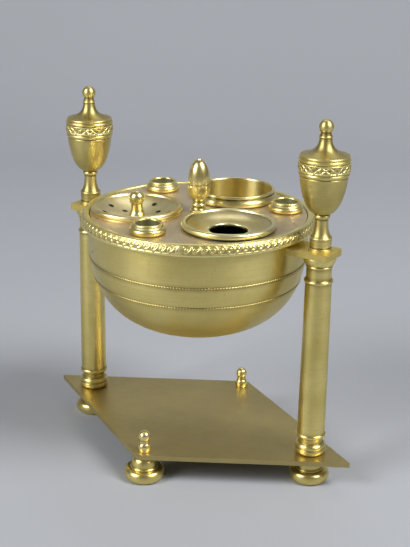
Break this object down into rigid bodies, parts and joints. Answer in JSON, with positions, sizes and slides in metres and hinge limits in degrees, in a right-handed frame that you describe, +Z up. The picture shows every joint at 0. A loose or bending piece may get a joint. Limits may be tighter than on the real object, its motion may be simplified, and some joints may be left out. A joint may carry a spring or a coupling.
{
  "type": "desk inkstand",
  "caption": "Gilt brass desk inkstand: a bowl between two urn-topped columns on a lozenge base, with a lift-out tray of dishes, a cup and pen sockets.",
  "frame": {"origin": "on the table under the middle of the bowl", "axes": "+X from the left column to the right one, +Y to the back, +Z up"},
  "size_m": [0.1484, 0.0956, 0.1495],
  "materials": {
    "satin_brass": "gilt brass, satin, lightly tarnished",
    "base_brass": "brushed brass, dull and brown with age",
    "dark_iron": "dark iron, oiled",
    "chased_brass": "chased gilt brass, bright on the high points",
    "tray_brass": "satin brass, grey brown",
    "bright_brass": "polished gilt brass",
    "dish_brass": "satin gilt brass, worn pale",
    "well_glass": "dark bottle glass, ink stained"
  },
  "bodies": {
    "stand": {"base_plate": "base_brass", "foot_left": "satin_brass", "foot_right": "satin_brass", "foot_front": "satin_brass", "foot_back": "satin_brass", "base_knob_front": "bright_brass", "base_knob_back": "bright_brass", "bolt_left": "dark_iron", "bolt_right": "dark_iron", "column_left": "satin_brass", "column_right": "satin_brass", "bracket_left": "satin_brass", "bracket_right": "satin_brass", "urn_left": "satin_brass", "urn_right": "satin_brass", "urn_band_left": "chased_brass", "urn_band_right": "chased_brass", "urn_cover_left": "satin_brass", "urn_cover_right": "satin_brass", "bowl": "satin_brass", "rim_band": "chased_brass"},
    "tray": {"top_plate": "tray_brass", "handle": "bright_brass", "handle_nut": "dark_iron", "pen_socket_right": "satin_brass", "pen_socket_left": "satin_brass", "pen_socket_front": "satin_brass"},
    "sand_pot": {"sand_pot": "satin_brass"},
    "sand_dish": {"sand_dish": "dish_brass", "sand_knob": "bright_brass"},
    "ink_well": {"ink_well": "well_glass"},
    "ink_dish": {"ink_dish": "dish_brass"},
    "cup": {"cup": "satin_brass"}
  },
  "joints": [
    {"name": "tray_lift", "type": "slide", "parent": "stand", "child": "tray", "axis": [0, 0, 1], "range_m": [0, 0.045]},
    {"name": "sand_pot_lift", "type": "slide", "parent": "tray", "child": "sand_pot", "axis": [0, 0, 1], "range_m": [0, 0.03]},
    {"name": "sand_dish_lift", "type": "slide", "parent": "sand_pot", "child": "sand_dish", "axis": [0, 0, 1], "range_m": [0, 0.015]},
    {"name": "ink_well_lift", "type": "slide", "parent": "tray", "child": "ink_well", "axis": [0, 0, 1], "range_m": [0, 0.03]},
    {"name": "ink_dish_lift", "type": "slide", "parent": "ink_well", "child": "ink_dish", "axis": [0, 0, 1], "range_m": [0, 0.015]},
    {"name": "cup_lift", "type": "slide", "parent": "tray", "child": "cup", "axis": [0, 0, 1], "range_m": [0, 0.03]}
  ]
}
